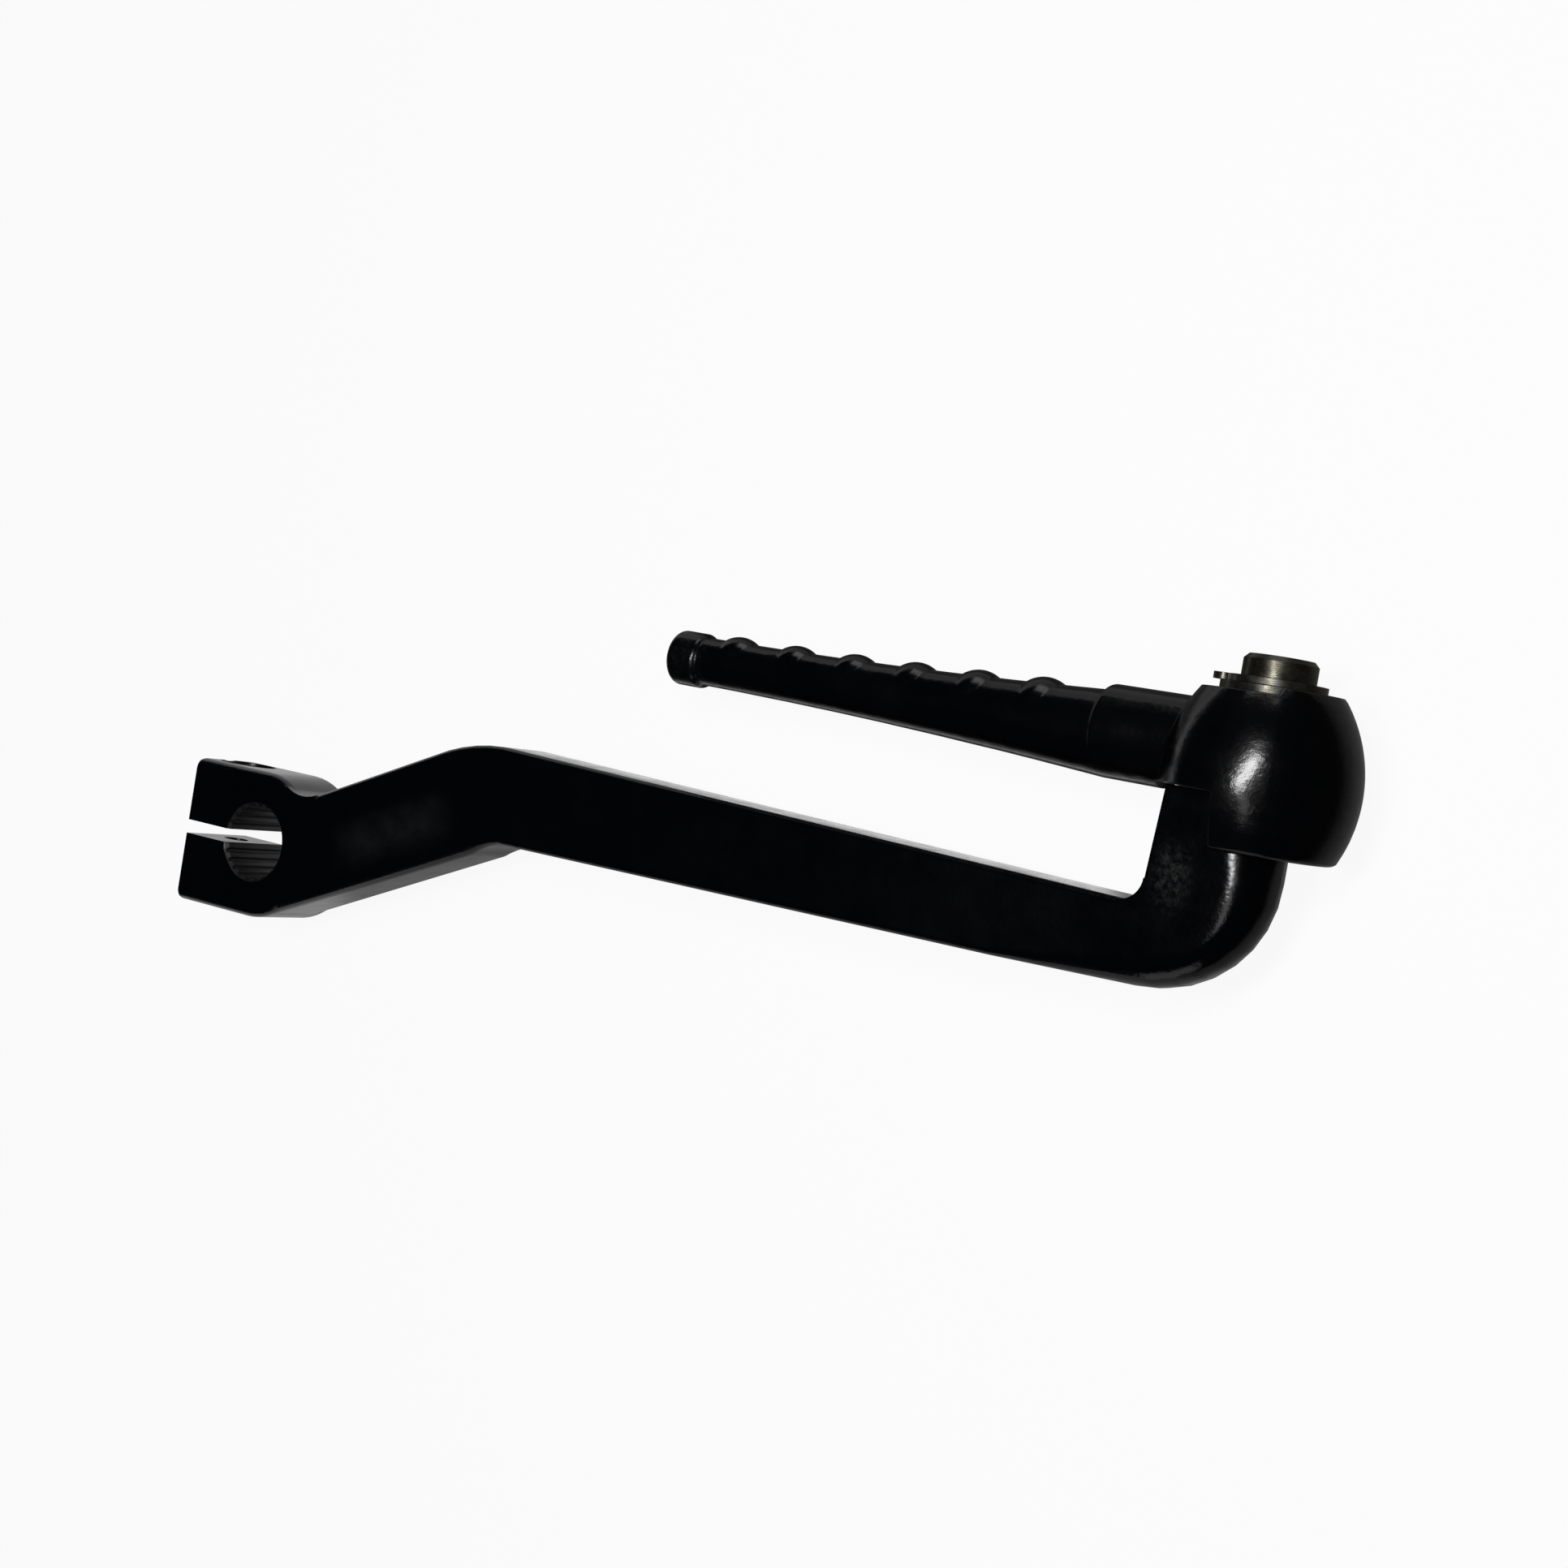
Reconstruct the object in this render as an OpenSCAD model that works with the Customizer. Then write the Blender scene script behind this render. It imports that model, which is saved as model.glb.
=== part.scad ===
// Kick start lever with a folding foot pedal, in millimetres.
// The lever lies on its inboard side: the shaft bore runs along Z and +Z points away from the engine.
// The origin is on the bore axis, on the inboard face of the clamp. The arm runs along +X to the pivot
// pin, which stands along +Y. The pedal is folded back over the arm and swings out towards +Z.

/* [Arm] */
// Distance from the shaft bore to the pivot pin
bore_to_pin = 210.4; // [150:0.1:260]
// Thickness of the long outer length and of the hook
arm_t = 13.8; // [12.6:0.1:15]
// How much thinner the arm's root is than the clamp
root_step = 0.6; // [0.3:0.1:3]
// Distance along X from the bore to the bend in the arm
kink_x = 57.2; // [45:0.5:80]
// Height of the arm's centreline at the bend, above the bore
kink_y = 19.85; // [12:0.05:26]
// Rise of the short inner length of the arm, in degrees
rise_angle = 23.9; // [12:0.1:30]
// Fall of the long outer length of the arm, in degrees
fall_angle = 0.8; // [0:0.1:3]
// Radius of the arm's centreline at the bend
kink_r = 29; // [16:1:40]
// Width of the arm where it leaves the clamp
root_w = 20.2; // [16:0.1:20.4]
// Width of the short inner length where it meets the bend
kink_w = 19.9; // [15:0.1:21]
// Width of the long outer length where it leaves the bend
long_root_w = 18.3; // [15:0.1:21]
// Width of the arm where the hook begins
hook_w = 13.6; // [11:0.1:15]
// How much further the arm's lower side stands out at the start of the bend
kink_low = 1; // [0:0.1:2]
// Radius on the lower edges of the short inner length
low_edge_r = 2.8; // [1:0.1:4]
// Radius on the arm's other long edges
edge_r = 1.4; // [0.6:0.1:2.5]
// Distance from the pin axis to the hook's outer face
post_out = 6.2; // [6.1:0.1:7.5]
// Outer radius of the hook that turns the arm up to the pin
hook_r = 20.4; // [17:0.1:24]

/* [Clamp] */
// Depth of the clamp along the shaft; its outboard face is flush with the arm's
clamp_depth = 16.6; // [15:0.1:30]
// Height of the clamp over both jaws
clamp_h = 29.8; // [26:0.1:36]
// How far the middle of the clamp's height lies below the bore axis
clamp_drop = 0.4; // [0:0.1:1]
// Length of the jaws past the bore axis
jaw_l = 19.3; // [17.5:0.1:26]
// Width of the slit between the jaws
slit_w = 2.8; // [1.5:0.1:4]
// Cut corners at the ends of the jaws
jaw_chamfer = 0.5; // [0.4:0.1:3]
// Radius along the clamp's outer edges
clamp_edge_r = 2.2; // [0.6:0.1:2.6]
// Fillet between the clamp and the top of the arm
valley_r = 9; // [4:0.5:12]
// Diameter over the crests of the splines in the bore
spline_minor_d = 14.9; // [13:0.1:15.2]
// Diameter at the roots of the splines in the bore
spline_major_d = 16; // [15.6:0.1:17]
// Number of splines
spline_n = 24; // [18:1:30]
// Width of the chamfer past the spline roots, at the outboard end of the bore
bore_chamfer = 0.3; // [0.2:0.1:1]
// Distance from the bore axis to the pinch bolt axis
bolt_x = 13.2; // [12.6:0.1:14]
// Clearance hole for the pinch bolt in the upper jaw
bolt_hole_d = 6.6; // [6.2:0.1:7]
// Tapping hole for the pinch bolt in the lower jaw
bolt_tap_d = 5; // [4.8:0.1:5.2]
// Spot face under the head of the pinch bolt
spot_d = 11.6; // [10:0.1:12]
// Depth of the spot face
spot_depth = 0.5; // [0.2:0.1:1]

/* [Pivot] */
// Diameter of the pivot pin
pin_d = 12; // [10:0.5:13]
// Height of the face that the pedal's barrel turns on, above the arm's centreline
seat_rise = 17.4; // [17:0.1:24]
// Height of the pin above that face
pin_h = 31.4; // [29:0.1:34]
// Chamfer on the free end of the pin
pin_chamfer = 0.8; // [0.3:0.1:1.5]
// Height of the stop lug above the seat
lug_h = 8.8; // [4:0.1:10]
// Distance from the pin axis to the foot of the lug's outer face
lug_reach = 14; // [12:0.1:14.2]
// Lean of the lug's outer face, in degrees
lug_draft = 3.5; // [0:0.5:6]
// Distance from the pin axis to the lug's inner end
lug_inner = 1.6; // [1:0.1:3]
// Fillet in the inner corner of the hook
corner_r = 4; // [1:0.1:5]

/* [Barrel of the pedal] */
// Greatest radius of the crowned barrel
barrel_r = 16; // [14.5:0.1:18]
// Radius of the crown on the barrel
crown_r = 25; // [20:1:60]
// Height of the barrel
barrel_h = 25.1; // [22:0.1:26]
// Height of the crown's widest ring above the barrel's lower face
crown_at = 11.1; // [8:0.1:13]
// Height of the lip that shields the washer on the barrel's outer side
lip_h = 1.4; // [0.5:0.1:2]
// Distance from the pin axis to the ends of the lip
lip_from = 5; // [2:0.5:8]
// Gap between the lip and the washer
lip_gap = 0.4; // [0.3:0.1:1]
// Radius at the barrel's lower edge
barrel_edge_r = 2; // [0.5:0.1:3]
// Running clearance round the pin, on the radius
pin_clear = 0.05; // [0.02:0.01:0.1]
// Gap between the barrel's lower face and its seat
seat_gap = 0.1; // [0.05:0.05:0.3]
// Gap between the notch and the stop lug
notch_gap = 0.2; // [0.1:0.05:0.4]
// Angle that the pedal swings out
swing = 90; // [90:1:90]
// Distance from the pin axis to the notch's front end while the pedal is folded
notch_front = 1.1; // [0.2:0.1:1.5]

/* [Foot rod] */
// Distance from the pin axis to the end of the rod
rod_l = 116.4; // [100:0.2:150]
// Distance from the barrel's lower face to the rod's axis
rod_rise = 15.6; // [12:0.1:17]
// Diameter of the rod at its tip
rod_tip_d = 8.7; // [7:0.1:11]
// Diameter of the rod where it meets the collar
rod_root_d = 14.4; // [11:0.1:14.6]
// Diameter of the collar beside the barrel
collar_d = 15.4; // [13:0.1:15.8]
// Distance from the pin axis to the collar's outer end
collar_l = 28.2; // [22:0.1:34]
// Radius on the collar's shoulder
collar_edge_r = 1; // [0.3:0.1:2]
// Number of ribs on the tread side of the rod
rib_n = 6; // [3:1:7]
// Distance from the pin axis to the first rib
rib_start = 40.4; // [36:0.2:48]
// Distance from one rib to the next
rib_pitch = 12.55; // [9:0.05:13]
// Height of a rib on the tread side
rib_h = 1.05; // [0.6:0.05:2]
// Angle from the top of the tread at which a rib dies away
rib_reach = 70; // [50:1:120]
// Width of a rib at its foot
rib_w = 6.4; // [4:0.1:8]
// Length of the knob on the rod's end
knob_l = 6.6; // [5:0.1:9]
// Lean of the foot rod towards its tread side, in degrees
rod_lean = 0.6; // [0:0.1:3]
// How far the foot rod's root lies below the collar's axis
rod_drop = 0.85; // [0:0.05:1.5]
// How far the knob stands out round the rod's end
knob_out = 0.65; // [0.3:0.05:1.2]
// Radius on the knob's edges
knob_edge_r = 1.2; // [0.5:0.1:2.2]

/* [Washer and circlip] */
// Outer diameter of the washer
washer_d = 18; // [17:0.1:22]
// Thickness of the washer
washer_t = 1.2; // [0.8:0.1:1.6]
// Gap above and below the washer
washer_gap = 0.1; // [0.05:0.05:0.3]
// Thickness of the circlip
clip_t = 1.1; // [0.8:0.1:1.3]
// Radial width of the circlip's ring
clip_w = 2.4; // [1.6:0.1:3]
// Depth of the circlip's groove in the pin
groove_depth = 0.5; // [0.3:0.05:0.8]
// Gap between the circlip and the sides of its groove
groove_gap = 0.05; // [0.02:0.01:0.1]
// Opening of the circlip
clip_opening = 4; // [2.5:0.1:5]
// Diameter of the circlip's two eyes
clip_eye_d = 3.6; // [3:0.1:4]
// Hole in each eye
clip_hole_d = 1.5; // [1:0.1:1.8]

/* [Click stop] */
// Diameter of the click ball
ball_d = 6.35; // [5:0.05:6.5]
// Height of the ball's axis above the seat
ball_rise = 16.6; // [12:0.1:18]
// Clearance of the ball in its hole, on the radius
ball_clear = 0.05; // [0.03:0.01:0.1]
// How far the ball stands out of the pin while it runs in its track
ball_out = 0.65; // [0.4:0.05:0.8]
// How much deeper the two click hollows are than the track
click_depth = 0.35; // [0.2:0.05:0.5]
// Distance from the pin axis to the bottom of the ball's hole
ball_hole_l = 4.2; // [3.8:0.1:4.4]
// Wire diameter of the click spring
spring_wire = 0.7; // [0.5:0.05:0.8]
// Outer diameter of the click spring
spring_d = 5.2; // [4:0.1:5.6]
// Turns of the click spring
spring_turns = 3.5; // [3:0.5:5]

/* [Hidden] */
$fn = 72;
eps = 0.01;

black = [0.04, 0.04, 0.045];
steel = [0.62, 0.60, 0.56];

mid_z = clamp_depth - arm_t / 2;
bore_r = spline_minor_d / 2;
boss_r = clamp_h / 2;
pin_r = pin_d / 2;
turn_angle = rise_angle + fall_angle;
// Length that a cut runs past the faces it comes out of, and depth that a fillet sinks in at its ends
over = 1;
bite = 0.06;

// Straight lengths of the arm: a direction and the side that points up
function dir(a) = [cos(a), sin(a)];
function side(a) = [-sin(a), cos(a)];
function blend(a, b, t) = a + (b - a) * t;

kink = [kink_x, kink_y];
kink_tangent = kink_r * tan(turn_angle / 2);
kink_centre = kink - kink_tangent * dir(rise_angle) - kink_r * side(rise_angle);
root_u = kink * dir(rise_angle);
root_t = clamp_depth - root_step;
half_t = arm_t / 2;

// The hook: its centre stands over the arm's lower edge, one outer radius up
pin_x = bore_to_pin;
hook_x = pin_x + post_out - hook_r;
hook_mid_y = kink_y - (hook_x - kink_x) * tan(fall_angle);
hook_centre = [hook_x, hook_mid_y - hook_w / 2 + hook_r];
seat_y = hook_mid_y + seat_rise;
lug_y = seat_y + lug_h;
pin_top_y = seat_y + pin_h;

// The barrel, the rod and what holds them on the pin
barrel_y = seat_y + seat_gap;
barrel_top_y = barrel_y + barrel_h;
rod_y = barrel_y + rod_rise;
notch_top_y = lug_y + notch_gap;
washer_y = barrel_top_y + washer_gap;
clip_y = washer_y + washer_t + washer_gap;
bore_pin_r = pin_r + pin_clear;
groove_r = pin_r - groove_depth;
ball_y = seat_y + ball_rise;
ball_r = ball_d / 2;
ball_x = pin_r + ball_out - ball_r;
ball_hole_r = ball_r + ball_clear;

// A rounded rectangle in a plane across the arm, as points [height, z].
// The upper or inner corners take one radius and the lower or outer corners another.
corner_steps = 5;
function corner(cy, cz, r, from) =
    [for (i = [0:corner_steps]) [cy + r * cos(from + 90 * i / corner_steps),
                                 cz + r * sin(from + 90 * i / corner_steps)]];
function outline(top, bottom, rt, rb, low, high) = concat(
    corner(top - rt, high - rt, rt, 0),
    corner(bottom + rb, high - rb, rb, 90),
    corner(bottom + rb, low + rb, rb, 180),
    corner(top - rt, low + rt, rt, 270));

// One station of the arm:
// [point on the line, direction, top, bottom, upper radius, lower radius, thickness]
function ring(s) = [for (p = outline(s[2], s[3], s[4], s[5], clamp_depth - s[6], clamp_depth))
    let (q = s[0] + p[0] * side(s[1])) [q[0], q[1], p[1]]];

hook_edge_r = arm_t / 2 - 0.3;
edge_start = 0.82;
long_l = norm([hook_x - kink_x, hook_mid_y - kink_y]);
function long_w(u) = blend(long_root_w, hook_w, u);
function long_edge(u) = u < edge_start ? edge_r
    : blend(edge_r, hook_edge_r * 0.75, (u - edge_start) / (1 - edge_start));
function long_station(u) = [kink + u * long_l * dir(-fall_angle), -fall_angle,
    long_w(u) / 2, -long_w(u) / 2, edge_r, long_edge(u), arm_t];
bend_t = blend(root_t, arm_t, 0.7);
function root_station(u) = let (w = blend(root_w, kink_w, u))
    [kink + (u - 1) * root_u * dir(rise_angle), rise_angle, w / 2, -w / 2 - kink_low * u,
     edge_r, low_edge_r, blend(root_t, bend_t, u)];
function kink_station(t) = let (a = rise_angle - turn_angle * t, w = blend(kink_w, long_root_w, t))
    [kink_centre + kink_r * side(a), a, w / 2, -w / 2 - kink_low * (1 - t),
     edge_r, blend(low_edge_r, edge_r, t), blend(bend_t, arm_t, t)];
function hook_station(t) = let (a = -90 + 90 * t)
    [hook_centre, a + 90, hook_w - hook_r, -hook_r, edge_r,
     blend(hook_edge_r * 0.75, hook_edge_r, t), arm_t];
function post_station(y) =
    [[hook_x, y], 90, hook_w - hook_r, -hook_r, edge_r, hook_edge_r, arm_t];

stations = concat(
    [root_station(0.01)],
    [for (t = [0:0.2:1]) kink_station(t)],
    [for (u = [edge_start, 0.88, 0.94]) long_station(u)],
    [for (t = [0:0.125:1]) hook_station(t)],
    [post_station(seat_y)]);

// A solid skin over a list of stations
module loft(list) {
    rings = [for (s = list) ring(s)];
    n = len(rings[0]);
    m = len(rings);
    points = [for (r = rings) for (p = r) p];
    sides = [for (j = [0:m - 2]) for (i = [0:n - 1])
        let (a = j * n + i, b = j * n + (i + 1) % n)
        each [[a, a + n, b], [b, a + n, b + n]]];
    start = [[for (i = [0:n - 1]) i]];
    end = [[for (i = [0:n - 1]) m * n - 1 - i]];
    polyhedron(points = points, faces = concat(sides, start, end), convexity = 6);
}

// Things that stand along the pivot pin: local Z runs up the pin from the given height
module along_pin(y) {
    translate([pin_x, y, mid_z]) rotate([-90, 0, 0]) children();
}

// Things that lie along the foot rod: local Z runs from the pin axis towards the rod's end
module along_rod() {
    translate([pin_x, rod_y, mid_z]) rotate([0, -90, 0]) children();
}

// Things on the rod's tapering length, whose axis starts below the collar's and leans up
module along_tread() {
    along_rod() translate([0, -rod_drop, 0]) rotate([-rod_lean, 0, 0]) children();
}

// A plate in the plane of the arm, as thick as the given length of it
module plate(thick = arm_t) {
    translate([0, 0, clamp_depth - thick]) linear_extrude(height = thick) children();
}

// One half of the clamp's section, with the outer edges rounded
module clamp_section() {
    square([boss_r - clamp_edge_r, clamp_depth]);
    translate([0, clamp_edge_r]) square([boss_r, clamp_depth - 2 * clamp_edge_r]);
    for (z = [clamp_edge_r, clamp_depth - clamp_edge_r])
        translate([boss_r - clamp_edge_r, z]) circle(r = clamp_edge_r);
}

// Clamp at the shaft end: a round back and two straight jaws
module clamp_body() {
    translate([0, -clamp_drop, 0]) {
        rotate([0, 0, -90]) rotate_extrude(angle = 180) clamp_section();
        intersection() {
            rotate([90, 0, -90]) linear_extrude(height = jaw_l) {
                clamp_section();
                mirror([1, 0]) clamp_section();
            }
            linear_extrude(height = clamp_depth) polygon([
                [over, -boss_r - over], [over, boss_r + over],
                [jaw_chamfer - jaw_l + over, boss_r + over], [-jaw_l, boss_r - jaw_chamfer],
                [-jaw_l, jaw_chamfer - boss_r], [jaw_chamfer - jaw_l + over, -boss_r - over]]);
        }
    }
    valley();
}

// Concave fillet between the round back of the clamp and the top of the arm
top_line = (kink + kink_w / 2 * side(rise_angle)) * side(rise_angle);
valley_n = top_line + valley_r;
boss_u = -clamp_drop * sin(rise_angle);
boss_n = -clamp_drop * cos(rise_angle);
valley_u = boss_u + sqrt(pow(boss_r + valley_r, 2) - pow(valley_n - boss_n, 2));
valley_centre = valley_u * dir(rise_angle) + valley_n * side(rise_angle);
module valley() {
    plate(root_t - bite) difference() {
        polygon([
            [0, 0],
            valley_centre,
            valley_centre - 2 * valley_r * side(rise_angle)]);
        translate(valley_centre) circle(r = valley_r + bite);
    }
}

// Splined bore with its chamfers
spline_half = 360 / spline_n / 4;
module splined_bore() {
    translate([0, 0, -over]) cylinder(r = bore_r, h = clamp_depth + 2 * over);
    for (i = [0:spline_n - 1])
        rotate([0, 0, (i + 0.5) * 360 / spline_n])
            translate([0, 0, -over])
                linear_extrude(height = clamp_depth + 2 * over)
                    polygon([
                        [bore_r * 0.9, -bore_r * sin(spline_half)],
                        [bore_r, -bore_r * sin(spline_half)],
                        [spline_major_d / 2, -spline_major_d / 2 * sin(spline_half * 0.5)],
                        [spline_major_d / 2, spline_major_d / 2 * sin(spline_half * 0.5)],
                        [bore_r, bore_r * sin(spline_half)],
                        [bore_r * 0.9, bore_r * sin(spline_half)]]);
    mouth_r = spline_major_d / 2 + bore_chamfer;
    mouth_h = mouth_r - bore_r + bite;
    translate([0, 0, clamp_depth - mouth_h])
        cylinder(r1 = mouth_r - mouth_h, r2 = mouth_r + over, h = mouth_h + over);
}

// Slit and pinch bolt holes
module clamp_cuts() {
    translate([-jaw_l - over, -slit_w / 2, -over])
        cube([jaw_l + over, slit_w, clamp_depth + 2 * over]);
    translate([-bolt_x, 0, clamp_depth / 2]) rotate([-90, 0, 0]) {
        cylinder(d = bolt_hole_d, h = boss_r + over);
        translate([0, 0, boss_r - clamp_drop - spot_depth])
            cylinder(d = spot_d, h = spot_depth + over);
    }
    translate([-bolt_x, 0, clamp_depth / 2]) rotate([90, 0, 0])
        cylinder(d = bolt_tap_d, h = boss_r + over);
}

// Block beside the pin: it fills the hook's inner side and ends in the stop lug
foot_y = hook_mid_y;
core_r = hook_r - hook_w / 2 - 2;
inner_y = hook_mid_y + hook_w / 2;
function lug_face(y) = pin_x - lug_reach + (y - inner_y) * tan(lug_draft);
module post() {
    plate() polygon([
        [lug_face(foot_y), foot_y],
        each [for (a = [-90, -45, 0]) hook_centre + core_r * dir(a)],
        [pin_x - lug_inner, seat_y],
        [pin_x - lug_inner, lug_y],
        [lug_face(lug_y), lug_y]]);
    plate() difference() {
        translate([lug_face(inner_y) - corner_r, inner_y - over])
            square([corner_r + over, corner_r + over]);
        translate([lug_face(inner_y) - corner_r, inner_y + corner_r]) circle(r = corner_r + bite);
    }
}

// Pin with its circlip groove and the hole for the click ball
module pin() {
    difference() {
        along_pin(hook_centre[1]) {
            cylinder(r = pin_r, h = pin_top_y - hook_centre[1] - pin_chamfer);
            translate([0, 0, pin_top_y - hook_centre[1] - pin_chamfer])
                cylinder(r1 = pin_r, r2 = pin_r - pin_chamfer, h = pin_chamfer);
        }
        along_pin(clip_y - groove_gap) difference() {
            cylinder(r = pin_r + over, h = clip_t + 2 * groove_gap);
            cylinder(r = groove_r, h = clip_t + 2 * groove_gap);
        }
        translate([pin_x - ball_hole_l, ball_y, mid_z])
            rotate([0, 90, 0]) cylinder(r = ball_hole_r, h = ball_hole_l + pin_r + over);
    }
}

module kick_arm() {
    color(black) difference() {
        union() {
            loft(stations);
            clamp_body();
            post();
            pin();
        }
        splined_bore();
        clamp_cuts();
    }
}

// Half section of the crowned barrel, from its axis outwards
module barrel_section() {
    difference() {
        intersection() {
            square([barrel_r, barrel_h + lip_h]);
            translate([barrel_r - crown_r, crown_at]) circle(r = crown_r, $fn = 240);
        }
        translate([-over, barrel_h]) square([over + washer_d / 2 + lip_gap, lip_h + over]);
        foot_r = barrel_r - crown_r + sqrt(pow(crown_r, 2) - pow(crown_at - barrel_edge_r, 2));
        translate([foot_r - barrel_edge_r, 0]) difference() {
            translate([0, -over]) square([barrel_edge_r + over, barrel_edge_r + over]);
            translate([0, barrel_edge_r]) circle(r = barrel_edge_r);
        }
    }
}

// Rod with its ribs
rod_steps = 8;
function rod_r(s) = rod_tip_d / 2 + (rod_root_d - rod_tip_d) / 2
    * pow((rod_l - s) / (rod_l - collar_l), 2);
module rod_body() {
    rotate_extrude() polygon(concat(
        [[0, 0], [rod_r(collar_l), 0]],
        [for (i = [0:rod_steps]) let (s = blend(collar_l - over, rod_l - knob_l / 2, i / rod_steps))
            [rod_r(s), s]],
        [[0, rod_l - knob_l / 2]]));
}

// Each rib is a ring set off towards the tread, so that it comes out of the rod on that side only
module rib(s) {
    r = rod_r(s);
    off = rib_h * (rib_h + 2 * r) / (2 * (rib_h + r * (1 - cos(rib_reach))));
    crest = r + rib_h - off;
    arc_r = (pow(rib_w / 2, 2) + pow(rib_h, 2)) / (2 * rib_h);
    translate([0, off, s]) rotate_extrude() intersection() {
        translate([0, -rib_w / 2]) square([crest, rib_w]);
        translate([crest - arc_r, 0]) circle(r = arc_r);
    }
}

module knob() {
    knob_r = rod_tip_d / 2 + knob_out;
    translate([0, 0, rod_l - knob_l]) rotate_extrude() {
        square([knob_r - knob_edge_r, knob_l]);
        translate([0, knob_edge_r]) square([knob_r, knob_l - 2 * knob_edge_r]);
        translate([knob_r - knob_edge_r, knob_edge_r]) circle(r = knob_edge_r);
        translate([knob_r - knob_edge_r, knob_l - knob_edge_r]) circle(r = knob_edge_r);
    }
}

module collar() {
    rotate_extrude() {
        square([collar_d / 2 - collar_edge_r, collar_l]);
        square([collar_d / 2, collar_l - collar_edge_r]);
        translate([collar_d / 2 - collar_edge_r, collar_l - collar_edge_r]) circle(r = collar_edge_r);
    }
}

// Notch in the barrel's skirt. Folded, its front end stands clear of the lug. Its back end is the
// face that meets the lug's inboard side when the pedal has swung out.
module notch() {
    back_end = half_t + notch_gap;
    reach = barrel_r + over;
    translate([pin_x, barrel_y - over, mid_z]) intersection() {
        rotate([-90, 0, 0]) cylinder(r = reach - over / 2, h = notch_top_y - barrel_y + over);
        union() {
            translate([-reach, 0, 0])
                cube([reach - notch_front, notch_top_y - barrel_y + over, reach]);
            translate([-reach, 0, -reach])
                cube([reach + back_end, notch_top_y - barrel_y + over, reach + eps]);
        }
    }
}

// Track and hollows that the click ball runs in, cut into the barrel's bore
track_r = ball_hole_r;
track_at = pin_r + ball_out + ball_clear - track_r;
module click_track() {
    along_pin(ball_y) {
        rotate([0, 0, -swing]) rotate_extrude(angle = swing) intersection() {
            translate([track_at, 0]) circle(r = track_r);
            translate([0, -track_r]) square([2 * track_r + pin_r, 2 * track_r]);
        }
        for (a = [0, -swing]) rotate([0, 0, a]) {
            translate([track_at, 0, 0]) sphere(r = track_r);
            translate([track_at + click_depth, 0, 0]) sphere(r = track_r);
        }
    }
}

module foot_pedal() {
    color(black) difference() {
        union() {
            along_pin(barrel_y) rotate_extrude() barrel_section();
            along_rod() collar();
            along_tread() {
                rod_body();
                ribs();
                knob();
            }
        }
        along_pin(barrel_y - over) cylinder(r = bore_pin_r, h = barrel_h + 2 * over);
        translate([pin_x - barrel_r - over, barrel_top_y, mid_z - barrel_r - over])
            cube([barrel_r + over + lip_from, lip_h + over, 2 * (barrel_r + over)]);
        notch();
        click_track();
    }
}

module ribs() {
    for (i = [0:rib_n - 1]) rib(rib_start + i * rib_pitch);
}

module pivot_washer() {
    color(steel) along_pin(washer_y) difference() {
        cylinder(d = washer_d, h = washer_t);
        translate([0, 0, -over]) cylinder(r = bore_pin_r, h = washer_t + 2 * over);
    }
}

// Circlip: an open ring with two eyes that point towards the rod
clip_in_r = groove_r + groove_gap;
clip_out_r = clip_in_r + clip_w;
module circlip() {
    eye_at = [clip_out_r - 0.3, clip_opening / 2 + clip_eye_d / 2 - 0.4];
    color(steel) along_pin(clip_y) rotate([0, 0, 180]) linear_extrude(height = clip_t) difference() {
        union() {
            difference() {
                circle(r = clip_out_r);
                translate([0, -clip_opening / 2]) square([clip_out_r + over, clip_opening]);
            }
            for (s = [-1, 1]) translate([eye_at[0], s * eye_at[1]]) circle(d = clip_eye_d);
        }
        circle(r = clip_in_r);
        for (s = [-1, 1]) translate([eye_at[0], s * eye_at[1]]) circle(d = clip_hole_d);
    }
}

module click_ball() {
    color(steel) translate([pin_x + ball_x, ball_y, mid_z]) sphere(r = ball_r);
}

// Coil spring between the bottom of the hole and the ball
spring_sides = 8;
spring_per_turn = 16;
spring_l = ball_hole_l + ball_x - ball_r;
module click_spring() {
    r = (spring_d - spring_wire) / 2;
    lift = spring_l - spring_wire - 0.1;
    count = spring_turns * spring_per_turn;
    rings = [for (j = [0:count]) let (a = 360 * j / spring_per_turn, h = lift * j / count)
        [for (i = [0:spring_sides - 1]) let (b = 360 * i / spring_sides)
            let (q = r + spring_wire / 2 * cos(b))
            [q * cos(a), q * sin(a), h + spring_wire / 2 * sin(b)]]];
    n = spring_sides;
    m = len(rings);
    points = [for (k = rings) for (p = k) p];
    faces = [for (j = [0:m - 2]) for (i = [0:n - 1])
        let (a = j * n + i, b = j * n + (i + 1) % n)
        each [[a, b, a + n], [b, b + n, a + n]]];
    start = [[for (i = [0:n - 1]) n - 1 - i]];
    end = [[for (i = [0:n - 1]) (m - 1) * n + i]];
    color(steel) translate([pin_x - ball_hole_l + spring_wire / 2 + 0.05, ball_y, mid_z])
        rotate([0, 90, 0]) polyhedron(points = points, faces = concat(faces, start, end));
}

kick_arm();
foot_pedal();
pivot_washer();
circlip();
click_ball();
click_spring();
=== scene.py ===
"""Kick start lever: its looks, light and camera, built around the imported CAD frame, in metres."""

import math

import bmesh
import bpy
from mathutils import Matrix, Vector


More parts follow.
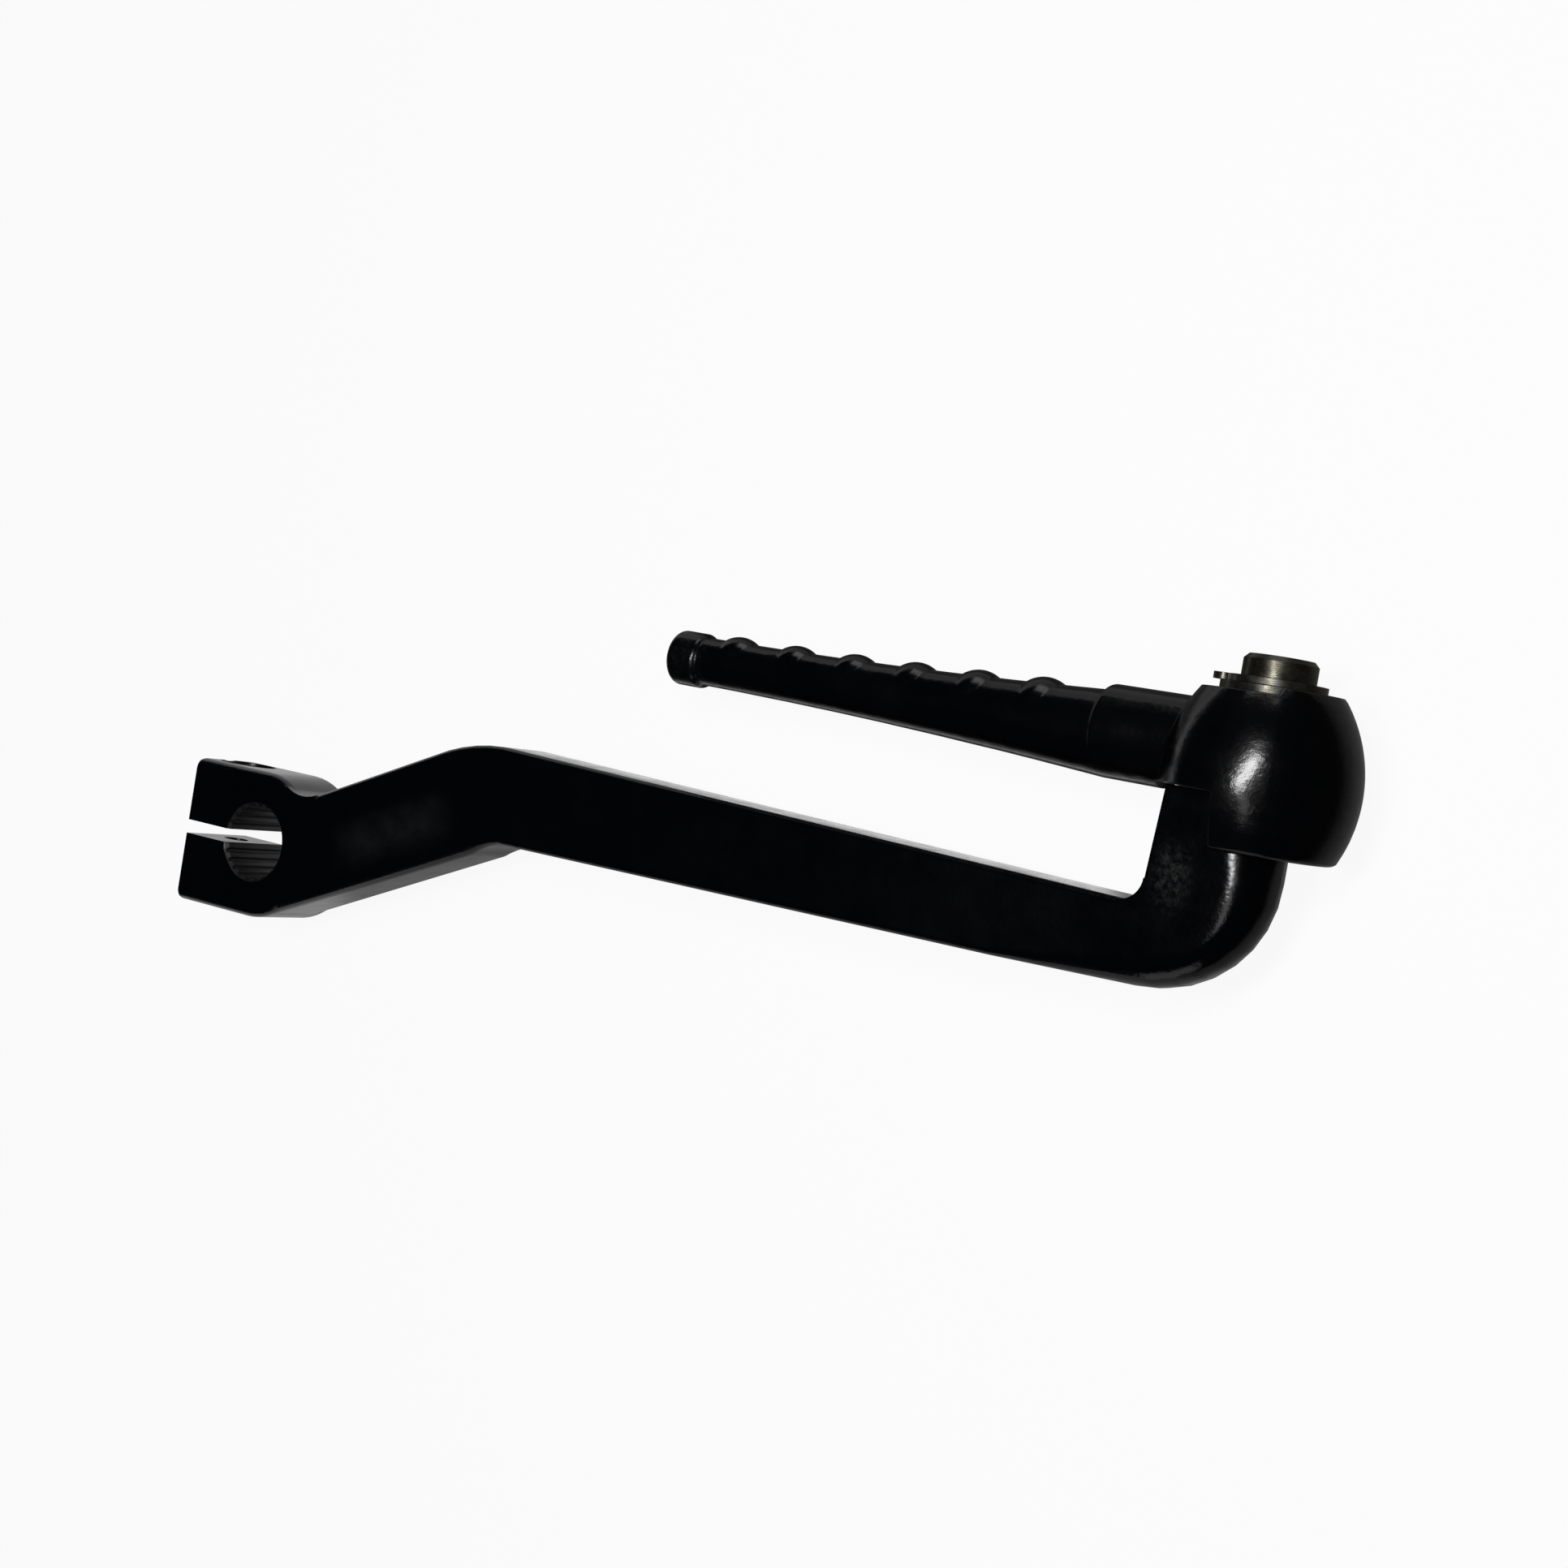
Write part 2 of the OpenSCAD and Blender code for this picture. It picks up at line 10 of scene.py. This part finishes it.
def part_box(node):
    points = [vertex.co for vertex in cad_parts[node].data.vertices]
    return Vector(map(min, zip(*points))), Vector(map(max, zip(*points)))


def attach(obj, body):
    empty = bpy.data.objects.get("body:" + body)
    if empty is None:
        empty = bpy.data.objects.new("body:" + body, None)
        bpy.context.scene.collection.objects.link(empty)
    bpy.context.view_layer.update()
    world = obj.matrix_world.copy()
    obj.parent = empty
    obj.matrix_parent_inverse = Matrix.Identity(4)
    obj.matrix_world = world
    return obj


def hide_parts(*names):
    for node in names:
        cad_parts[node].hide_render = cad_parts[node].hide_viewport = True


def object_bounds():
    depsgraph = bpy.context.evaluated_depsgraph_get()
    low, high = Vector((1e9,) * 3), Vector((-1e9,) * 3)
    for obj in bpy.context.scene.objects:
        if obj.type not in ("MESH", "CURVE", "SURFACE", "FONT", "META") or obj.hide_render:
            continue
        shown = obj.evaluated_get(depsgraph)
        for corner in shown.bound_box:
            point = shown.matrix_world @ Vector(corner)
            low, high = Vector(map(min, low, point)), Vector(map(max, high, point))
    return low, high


MM = 0.001

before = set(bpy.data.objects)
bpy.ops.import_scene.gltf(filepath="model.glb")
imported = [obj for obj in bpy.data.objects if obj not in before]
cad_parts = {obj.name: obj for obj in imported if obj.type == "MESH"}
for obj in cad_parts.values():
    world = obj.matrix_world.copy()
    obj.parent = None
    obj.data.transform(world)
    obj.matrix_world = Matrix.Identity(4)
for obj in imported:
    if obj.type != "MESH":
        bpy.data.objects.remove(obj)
cad_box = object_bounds()

# The clamp's outboard face, the washer's underside on the pin, and the lowest point of the lever
FRONT_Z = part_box("kick_arm")[1].z
WASHER_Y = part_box("pivot_washer")[0].y
FLOOR_Z = cad_box[0].z

# A place past the end of everything, for a mask that is open at one end
FAR = 1.0
# The soft end of a mask that looks sharp
CRISP = 0.1 * MM


# Materials

class Nodes:
    """A short way to build a material's node tree."""

    def __init__(self, name):
        self.material = bpy.data.materials.new(name)
        self.material.use_nodes = True
        self.tree = self.material.node_tree
        self.tree.nodes.clear()
        self.output = self.add("ShaderNodeOutputMaterial")
        self.place = self.add("ShaderNodeTexCoord").outputs["Object"]

    def add(self, kind, **settings):
        node = self.tree.nodes.new(kind)
        for key, value in settings.items():
            setattr(node, key, value)
        return node

    def link(self, source, target):
        self.tree.links.new(source, target)

    def finished(self, surface):
        """The material, with that shader as its surface."""
        self.link(surface, self.output.inputs["Surface"])
        return self.material

    def axes(self):
        """The X, Y and Z of a place on the piece."""
        node = self.add("ShaderNodeSeparateXYZ")
        self.link(self.place, node.inputs["Vector"])
        return tuple(node.outputs[axis] for axis in "XYZ")

    def noise(self, size, detail=3.0, roughness=0.6):
        """Noise whose patches are about that size across."""
        node = self.add("ShaderNodeTexNoise")
        node.inputs["Scale"].default_value = 1 / size
        node.inputs["Detail"].default_value = detail
        node.inputs["Roughness"].default_value = roughness
        self.link(self.place, node.inputs["Vector"])
        return node.outputs["Fac"]

    def span(self, value, low, high, to_low, to_high, smooth=False):
        """Maps value from one span to another, held at both ends."""
        node = self.add("ShaderNodeMapRange")
        if smooth:
            node.interpolation_type = "SMOOTHSTEP"
        for key, number in (("From Min", low), ("From Max", high),
                            ("To Min", to_low), ("To Max", to_high)):
            node.inputs[key].default_value = number
        self.link(value, node.inputs["Value"])
        return node.outputs["Result"]

    def inside(self, value, low, high, soft):
        """One between low and high, and nothing past them, with soft ends."""
        up = self.span(value, low - soft, low, 0, 1, smooth=True)
        down = self.span(value, high, high + soft, 1, 0, smooth=True)
        return self.product(up, down)

    def math(self, operation, a, b=0.0):
        node = self.add("ShaderNodeMath", operation=operation)
        for socket, value in zip(node.inputs, (a, b)):
            if isinstance(value, (int, float)):
                socket.default_value = value
            else:
                self.link(value, socket)
        return node.outputs["Value"]

    def product(self, first, *others):
        for other in others:
            first = self.math("MULTIPLY", first, other)
        return first

    def mix(self, factor, a, b):
        node = self.add("ShaderNodeMix", data_type="RGBA")
        self.link(factor, node.inputs["Factor"])
        colours = [s for s in node.inputs if s.type == "RGBA"]
        for socket, value in zip(colours, (a, b)):
            if isinstance(value, tuple):
                socket.default_value = (*value, 1)
            else:
                self.link(value, socket)
        return [s for s in node.outputs if s.type == "RGBA"][0]

    def rounded(self, radius):
        """A normal that rounds the edges a little."""
        node = self.add("ShaderNodeBevel", samples=6)
        node.inputs["Radius"].default_value = radius
        return node.outputs["Normal"]

    def bump(self, height, distance, normal):
        node = self.add("ShaderNodeBump")
        node.inputs["Distance"].default_value = distance
        self.link(height, node.inputs["Height"])
        self.link(normal, node.inputs["Normal"])
        return node.outputs["Normal"]

    def shader(self, **inputs):
        node = self.add("ShaderNodeBsdfPrincipled")
        for key, value in inputs.items():
            socket = node.inputs[key.replace("_", " ")]
            if isinstance(value, bpy.types.NodeSocket):
                self.link(value, socket)
            else:
                socket.default_value = value
        return node.outputs["BSDF"]

    def mix_shaders(self, factor, a, b):
        node = self.add("ShaderNodeMixShader")
        self.link(factor, node.inputs["Fac"])
        self.link(a, node.inputs[1])
        self.link(b, node.inputs[2])
        return node.outputs["Shader"]


PAINT = (0.0007, 0.0008, 0.0011)
PAINT_DUSTY = (0.0015, 0.0016, 0.0019)
# Lighter paint: wear on the pedal's knob, and a painted sheen on the arm's short inner length
PAINT_RUBBED_AND_SHEEN = (0.0075, 0.0082, 0.0080)
# Painted glints: light specks on the front of the post
PAINT_GLINTS = (0.0050, 0.0054, 0.0056)
BORE_GRIME = (0.0045, 0.0050, 0.0050)

# The paint's orange peel and its slow waves, and how far its roughness varies
PEEL_SIZE, PEEL_HEIGHT = 0.9 * MM, 0.036 * MM
WAVE_SIZE, WAVE_HEIGHT = 9 * MM, 0.09 * MM
PAINT_EDGE_R = 0.45 * MM
DUST_SIZE = 14 * MM
GLOSS_SIZE = 5 * MM
PAINT_ROUGH_LOW, PAINT_ROUGH_HIGH = 0.16, 0.22
PAINT_ROUGH = (PAINT_ROUGH_LOW + PAINT_ROUGH_HIGH) / 2


def painted_surface(n, marks):
    """Semi-gloss black paint over a forging: fine orange peel and a slow waviness.
    Each mark is a mask, a colour and a roughness that lie over the paint."""
    waves = n.noise(WAVE_SIZE, detail=2.0, roughness=0.5)
    normal = n.bump(waves, WAVE_HEIGHT, n.rounded(PAINT_EDGE_R))
    normal = n.bump(n.noise(PEEL_SIZE), PEEL_HEIGHT, normal)
    dust = n.span(n.noise(DUST_SIZE, detail=4.0), 0.42, 0.66, 0, 1)
    colour = n.mix(dust, PAINT, PAINT_DUSTY)
    gloss = n.span(n.noise(GLOSS_SIZE), 0.3, 0.7, PAINT_ROUGH_LOW, PAINT_ROUGH_HIGH)
    for mask, tint, rough in marks:
        colour = n.mix(mask, colour, tint)
        gloss = n.math("ADD", gloss, n.product(mask, rough - PAINT_ROUGH))
    return n.shader(Base_Color=colour, Roughness=gloss, IOR=1.5, Normal=normal)


# Steel's colours, and what a warmer steel loses of each
STEEL_CLEAN, CLEAN_LOSS = (0.44, 0.43, 0.39), (0, 0.01, 0.06)
STEEL_TARNISH, TARNISH_LOSS = (0.22, 0.20, 0.15), (0, 0.02, 0.03)
STAIN_SIZE = 2.6 * MM
POLISH_SIZE = 1.7 * MM
TURNED_RINGS, RING_WOBBLE, RING_HEIGHT = 900, 1.2, 0.006 * MM


def bare_steel(n, warm, rough, edge_r, tone):
    """Turned steel with fine rings, a little oil and tarnish."""
    rings = n.add("ShaderNodeTexWave", wave_type="BANDS", bands_direction="Y")
    rings.inputs["Scale"].default_value = TURNED_RINGS
    rings.inputs["Distortion"].default_value = RING_WOBBLE
    n.link(n.place, rings.inputs["Vector"])
    stain = n.span(n.noise(STAIN_SIZE, detail=4.0), 0.4, 0.66, 0, 1)
    clean = tuple(tone * (c - loss * warm) for c, loss in zip(STEEL_CLEAN, CLEAN_LOSS))
    tarnish = tuple(tone * (c - loss * warm) for c, loss in zip(STEEL_TARNISH, TARNISH_LOSS))
    colour = n.mix(stain, clean, tarnish)
    normal = n.bump(rings.outputs["Fac"], RING_HEIGHT, n.rounded(edge_r))
    polish = n.span(n.noise(POLISH_SIZE), 0.3, 0.7, rough - 0.05, rough + 0.12)
    return n.shader(Base_Color=colour, Metallic=0.86, Roughness=polish, Normal=normal)


KNOB_LENGTH, KNOB_SOFT = 7.5 * MM, 1.2 * MM
KNOB_SPECK = 0.9 * MM


def pedal_paint():
    """Paint, rougher and specked on the knob at the rod's end."""
    n = Nodes("pedal_paint")
    x, _, _ = n.axes()
    knob = n.inside(x, -FAR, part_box("foot_pedal")[0].x + KNOB_LENGTH, KNOB_SOFT)
    specks = n.span(n.noise(KNOB_SPECK, 4.0, 0.7), 0.45, 0.65, 0.05, 0.6)
    marks = ((n.product(knob, specks), PAINT_RUBBED_AND_SHEEN, 0.3),)
    return n.finished(painted_surface(n, marks))


# Where the arm's marks lie. Each triple is a mask's low and high end and the softness of both.
# The pin is bare from a little below the washer.
BARE_BELOW_WASHER = 0.6 * MM
GRIME_R, GRIME_BACK = 8.15 * MM, 0.2 * MM
# The face that looks outboard, from a little behind it
FRONT_BACK = 0.3 * MM
# The painted sheen, a lighter patch, in the direction of the arm's short inner length, which climbs
# by ARM_RISE
ARM_RISE = math.radians(23.9)
SHEEN_ALONG = (29 * MM, 45 * MM, 10 * MM)
SHEEN_ACROSS = (-8.3 * MM, -5.8 * MM, 5 * MM)
SHEEN_SPECK = 3.4 * MM
# The middle of the painted glints, light specks on the post, from the barrel's far side and its
# underside
POST_IN, POST_DOWN = 24.5 * MM, 5 * MM
GLINT_X = (-1.5 * MM, -0.5 * MM, 5 * MM)
GLINT_Y = (-1 * MM, 0, 8 * MM)
GLINT_SPECK = 1.1 * MM
HOOK_X, HOOK_SOFT = 192 * MM, 12 * MM


def arm_paint():
    """Paint everywhere but on the free end of the pin, past the barrel."""
    n = Nodes("arm_paint")
    x, y, z = n.axes()
    bare_from = WASHER_Y - BARE_BELOW_WASHER
    bare = n.span(y, bare_from, bare_from + CRISP, 0, 1)
    front = n.inside(z, FRONT_Z - FRONT_BACK, FAR, CRISP)

    # Grime in the bore
    around = n.math("SQRT", n.math("ADD", n.product(x, x), n.product(y, y)))
    bore = n.product(n.inside(around, -FAR, GRIME_R, CRISP),
                     n.inside(z, -FAR, FRONT_Z - GRIME_BACK, CRISP))

    # A painted sheen: a lighter patch on the front of the arm's short inner length
    rise, run = math.sin(ARM_RISE), math.cos(ARM_RISE)
    along = n.math("ADD", n.product(x, run), n.product(y, rise))
    across = n.math("SUBTRACT", n.product(y, run), n.product(x, rise))
    painted_sheen = n.product(n.inside(along, *SHEEN_ALONG), n.inside(across, *SHEEN_ACROSS), front,
                       n.span(n.noise(SHEEN_SPECK), 0.3, 0.7, 0.4, 1))

    # Painted glints: light specks on the front of the post
    post_x, post_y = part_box("foot_pedal")[1].x - POST_IN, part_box("foot_pedal")[0].y - POST_DOWN
    low_x, high_x, soft_x = GLINT_X
    low_y, high_y, soft_y = GLINT_Y
    painted_glints = n.product(n.inside(x, post_x + low_x, post_x + high_x, soft_x),
                       n.inside(y, post_y + low_y, post_y + high_y, soft_y), front,
                       n.span(n.noise(GLINT_SPECK, 4.0, 0.7), 0.38, 0.66, 0.1, 1))

    glossy_hook = n.inside(x, HOOK_X, FAR, HOOK_SOFT)
    marks = ((glossy_hook, PAINT, 0.145), (bore, BORE_GRIME, 0.5), (painted_sheen, PAINT_RUBBED_AND_SHEEN, 0.32),
             (painted_glints, PAINT_GLINTS, 0.4))
    paint = painted_surface(n, marks)
    steel = bare_steel(n, warm=1.0, rough=0.27, edge_r=0.25 * MM, tone=0.16)
    return n.finished(n.mix_shaders(bare, paint, steel))


def small_steel(name, warm, rough, tone):
    n = Nodes(name)
    return n.finished(bare_steel(n, warm, rough, edge_r=0.15 * MM, tone=tone))


# Pieces

JOIN_WITHIN = 0.002 * MM
DROP_SHORTER = 0.001 * MM
SHARP_ANGLE = math.radians(32)
FACE_WEIGHT = 80
# The lip on the pedal's barrel stays just clear of the circlip's eyes when the pedal swings out
LIP_LOWERED = 0.12 * MM
LIP_LEVEL = 0.02 * MM


def smooth_copy(node, name, body, material, lower_top=0.0):
    """A piece with a CAD node's own shape, its vertices joined and its curves shaded smooth."""
    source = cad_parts[node]
    mesh = source.data.copy()
    mesh.name = name
    made = bmesh.new()
    made.from_mesh(mesh)
    bmesh.ops.remove_doubles(made, verts=made.verts, dist=JOIN_WITHIN)
    bmesh.ops.dissolve_degenerate(made, edges=made.edges, dist=DROP_SHORTER)
    top = max(v.co.y for v in made.verts)
    for v in made.verts:
        if v.co.y > top - LIP_LEVEL:
            v.co.y -= lower_top
    made.to_mesh(mesh)
    made.free()
    custom = mesh.attributes.get("custom_normal")
    if custom:
        mesh.attributes.remove(custom)
    mesh.shade_smooth()
    mesh.set_sharp_from_angle(angle=SHARP_ANGLE)
    mesh.materials.clear()
    mesh.materials.append(material)
    piece = bpy.data.objects.new(name, mesh)
    bpy.context.scene.collection.objects.link(piece)
    weighted = piece.modifiers.new("even_normals", "WEIGHTED_NORMAL")
    weighted.keep_sharp = True
    weighted.weight = FACE_WEIGHT
    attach(piece, body)
    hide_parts(node)


smooth_copy("kick_arm", "lever_forging", "arm", arm_paint())
smooth_copy("foot_pedal", "folding_pedal", "pedal", pedal_paint(), LIP_LOWERED)

# The nodes that keep their CAD meshes
LOOKS = {
    "pivot_washer": small_steel("washer_steel", warm=0.1, rough=0.26, tone=0.2),
    "circlip": small_steel("circlip_steel", warm=0.3, rough=0.28, tone=0.22),
    "click_ball": small_steel("ball_steel", warm=0.0, rough=0.12, tone=1.0),
    "click_spring": small_steel("spring_steel", warm=0.2, rough=0.3, tone=0.9),
}
for node, look in LOOKS.items():
    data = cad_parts[node].data
    data.materials.clear()
    data.materials.append(look)


# Floor, light and camera

FLOOR_HALF = 3.0
FLOOR_COLOUR = (0.86, 0.86, 0.86, 1)
# How much of the floor that the camera sees glows by itself. The rest of it takes the shadow.
FLOOR_GLOW = 0.93

# What the paint mirrors of the floor is painted light and shade, seen only in reflections: a painted
# strip of light just above the long arm, as white as the backdrop, more light round the clamp, a
# painted shadow that dims the floor behind the rod, and a dimmer floor past the pivot.
# Heights are measured from a line that falls by ARM_FALL, as the long arm does.
MIRRORED = 0.28
ARM_FALL = 0.0302
WHITE_HEIGHT, WHITE_X = (30 * MM, 32.6 * MM, 1.2 * MM), (48 * MM, 176 * MM, 8 * MM)
WHITE_GAIN = 0.95
ROD_HEIGHT, ROD_X = (36 * MM, 88 * MM, 2 * MM), (84 * MM, 202 * MM, 12 * MM)
ROD_LOSS = 0.22
CLAMP_X, CLAMP_Y = (2 * MM, 14 * MM), (-4 * MM, 4 * MM)
CLAMP_GAIN = (0.27, 0.33)
PIVOT_X, PAST_PIVOT_X = (204 * MM, 216 * MM), (232 * MM, 264 * MM)
PIVOT_GAIN = (-0.13, -0.27)


def floor_material():
    """Near white with the shadow faintly on it, and a good deal darker in what the paint mirrors,
    where a painted strip of light and a painted shadow behind the rod lie.
    """
    n = Nodes("floor_white")
    x, y, _ = n.axes()
    height = n.math("ADD", y, n.product(x, ARM_FALL))
    # A painted strip of light above the long arm and a painted shadow behind the rod, seen only in
    # reflections
    painted_light_strip = n.product(n.inside(height, *WHITE_HEIGHT), n.inside(x, *WHITE_X))
    painted_rod_shadow = n.product(n.inside(x, *ROD_X), n.inside(height, *ROD_HEIGHT))
    clamp = n.product(n.span(x, *CLAMP_X, 1, 0, smooth=True), n.span(y, *CLAMP_Y, *CLAMP_GAIN))
    pivot = n.product(n.span(x, *PIVOT_X, 0, 1),
                      n.span(x, *PAST_PIVOT_X, *PIVOT_GAIN, smooth=True))
    mirrored = n.math("ADD", n.math("ADD", clamp, pivot), MIRRORED)
    mirrored = n.math("SUBTRACT", mirrored, n.product(painted_rod_shadow, ROD_LOSS))
    mirrored = n.math("ADD", mirrored, n.product(painted_light_strip, WHITE_GAIN))

    path = n.add("ShaderNodeLightPath")
    camera, glossy = path.outputs["Is Camera Ray"], path.outputs["Is Glossy Ray"]
    glow = n.add("ShaderNodeEmission")
    n.link(n.math("MAXIMUM", camera, n.product(glossy, mirrored)), glow.inputs["Strength"])
    paper = n.add("ShaderNodeBsdfDiffuse")
    paper.inputs["Color"].default_value = FLOOR_COLOUR
    amount = n.math("MAXIMUM", n.product(camera, FLOOR_GLOW), glossy)
    return n.finished(n.mix_shaders(amount, paper.outputs["BSDF"], glow.outputs["Emission"]))


def make_floor():
    mesh = bpy.data.meshes.new("floor")
    corners = [(x * FLOOR_HALF, y * FLOOR_HALF, FLOOR_Z)
               for x, y in ((-1, -1), (1, -1), (1, 1), (-1, 1))]
    mesh.from_pydata(corners, [], [(0, 1, 2, 3)])
    mesh.materials.append(floor_material())
    piece = bpy.data.objects.new("floor", mesh)
    bpy.context.scene.collection.objects.link(piece)


WORLD_COLOUR = (0.007, 0.009, 0.014, 1)


def make_world():
    world = bpy.data.worlds.new("studio")
    world.use_nodes = True
    world.node_tree.nodes["Background"].inputs["Color"].default_value = WORLD_COLOUR
    bpy.context.scene.world = world


# What the lamps are aimed at
LEVER_MIDDLE = (0.11, 0.03, 0)
PIVOT = (0.21, 0.05, 0.010)


def softbox(name, place, aim, width, height, power):
    light = bpy.data.lights.new(name, "AREA")
    light.shape = "RECTANGLE"
    light.size, light.size_y, light.energy = width, height, power
    lamp = bpy.data.objects.new(name, light)
    lamp.location = place
    lamp.rotation_euler = (Vector(aim) - Vector(place)).to_track_quat("-Z", "Y").to_euler()
    lamp.visible_camera = False
    bpy.context.scene.collection.objects.link(lamp)


# The camera, as worked out from the lever's outline in the photograph. Its focal length is in
# pixels of the photograph. Its aim lies in the plane of the clamp's outboard face. Azimuth turns
# from +Z towards +X and elevation towards +Y.
PHOTO_SIDE = 1932
CAMERA_FOCAL = 3040.0
CAMERA_SENSOR = 36
CAMERA_AIM = Vector((125.8, 32.38, 0)) * MM
CAMERA_DISTANCE = 431.6 * MM
CAMERA_AZIMUTH = math.radians(33.6)
CAMERA_ELEVATION = math.radians(2.34)
CAMERA_ROLL = math.radians(9.52)
CAMERA_NEAR, CAMERA_FAR = 0.01, 20


def make_camera():
    back = Vector((math.sin(CAMERA_AZIMUTH) * math.cos(CAMERA_ELEVATION), math.sin(CAMERA_ELEVATION),
                   math.cos(CAMERA_AZIMUTH) * math.cos(CAMERA_ELEVATION)))
    level = Vector((0, 1, 0)).cross(back).normalized()
    upright = back.cross(level)
    right = level * math.cos(CAMERA_ROLL) + upright * math.sin(CAMERA_ROLL)
    up = upright * math.cos(CAMERA_ROLL) - level * math.sin(CAMERA_ROLL)
    data = bpy.data.cameras.new("camera")
    data.sensor_width = data.sensor_height = CAMERA_SENSOR
    data.sensor_fit = "HORIZONTAL"
    data.lens = CAMERA_FOCAL / PHOTO_SIDE * CAMERA_SENSOR
    data.clip_start, data.clip_end = CAMERA_NEAR, CAMERA_FAR
    camera = bpy.data.objects.new("camera", data)
    place = CAMERA_AIM + Vector((0, 0, FRONT_Z)) + back * CAMERA_DISTANCE
    camera.matrix_world = Matrix((
        (right.x, up.x, back.x, place.x),
        (right.y, up.y, back.y, place.y),
        (right.z, up.z, back.z, place.z),
        (0, 0, 0, 1)))
    bpy.context.scene.collection.objects.link(camera)
    bpy.context.scene.camera = camera


make_floor()
make_world()
softbox("top_box", (0.10, 1.25, 0.16), LEVER_MIDDLE, width=0.7, height=0.7, power=2.2)
softbox("low_box", (0.20, -1.20, 0.16), LEVER_MIDDLE, width=0.7, height=0.7, power=0.9)
softbox("tall_box", (0.262, 0.122, 0.55), PIVOT, width=0.09, height=0.29, power=2.2)
softbox("tall_box_low", (0.285, -0.12, 0.55), PIVOT, width=0.10, height=0.2, power=0.09)
make_camera()

view = bpy.context.scene.view_settings
view.view_transform = "Standard"
